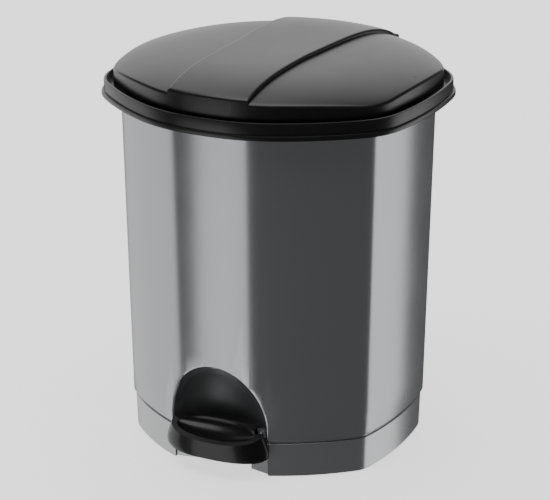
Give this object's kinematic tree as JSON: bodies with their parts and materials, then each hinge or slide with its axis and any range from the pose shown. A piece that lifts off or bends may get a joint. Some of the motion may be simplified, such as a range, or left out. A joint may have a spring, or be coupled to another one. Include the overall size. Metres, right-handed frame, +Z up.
{
  "type": "pedal waste bin",
  "caption": "Step-on waste bin: faceted silver body, base band, black overhanging rim, domed lid with a raised centre band, scooped niche with a foot pedal, lifting rod and inner bucket.",
  "frame": {"origin": "on the floor, under the middle of the object's box, which is the middle of the body's plan to within a millimetre", "axes": "+Z up; -Y is the front, where the pedal is; +X is to the right of a person who stands at the back and looks at the front's far side, that is to the viewer's right when the viewer faces the pedal"},
  "size_m": [0.32, 0.314, 0.3895],
  "materials": {
    "silver_body": "satin metallic silver moulded plastic",
    "black_gloss": "semi-gloss black moulded plastic",
    "grey_plastic": "matte dark grey moulded plastic",
    "zinc_steel": "bright zinc-plated steel",
    "rubber": "matte black rubber"
  },
  "bodies": {
    "bin_body": {"outer_shell": "silver_body", "base_ring": "silver_body", "pedal_bracket": "zinc_steel", "pedal_axle": "zinc_steel", "axle_clips": "zinc_steel", "bracket_screws": "zinc_steel", "base_screws": "zinc_steel", "rubber_feet": "rubber", "collar_ring": "black_gloss", "lid_hinge_pin": "zinc_steel", "rod_guide_lower": "grey_plastic", "rod_guide_upper": "grey_plastic", "inner_bucket": "grey_plastic"},
    "lid": {"lid_shell": "black_gloss", "lid_crank": "zinc_steel", "crank_screws": "zinc_steel", "lid_bumpers": "rubber"},
    "pedal": {"pedal_pad": "black_gloss", "pedal_lever": "zinc_steel", "pedal_screws": "zinc_steel"},
    "lift_rod": {"push_rod": "zinc_steel", "rod_foot": "grey_plastic", "rod_cross_pin": "zinc_steel"},
    "bail": {"bucket_bail": "zinc_steel", "bail_grip": "grey_plastic"}
  },
  "joints": [
    {"name": "lid_hinge", "type": "hinge", "parent": "bin_body", "child": "lid", "pos_m": [0, 0.146, 0.353], "axis": [-1, 0, 0], "range_deg": [0, 75]},
    {"name": "pedal_press", "type": "hinge", "parent": "bin_body", "child": "pedal", "pos_m": [0, -0.05803, 0.024], "axis": [1, 0, 0], "range_deg": [0, 10.5]},
    {"name": "rod_lift", "type": "slide", "parent": "bin_body", "child": "lift_rod", "axis": [0, 0, 1], "range_m": [0, 0.03136]},
    {"name": "bail_swing", "type": "hinge", "parent": "bin_body", "child": "bail", "pos_m": [0, 0, 0.3175], "axis": [-1, 0, 0], "range_deg": [0, 8]}
  ],
  "couplings": [
    {"joint": "pedal_press", "follows": "lid_hinge", "ratio": 0.1399},
    {"joint": "rod_lift", "follows": "lid_hinge", "m_per_rad": 0.02394}
  ]
}
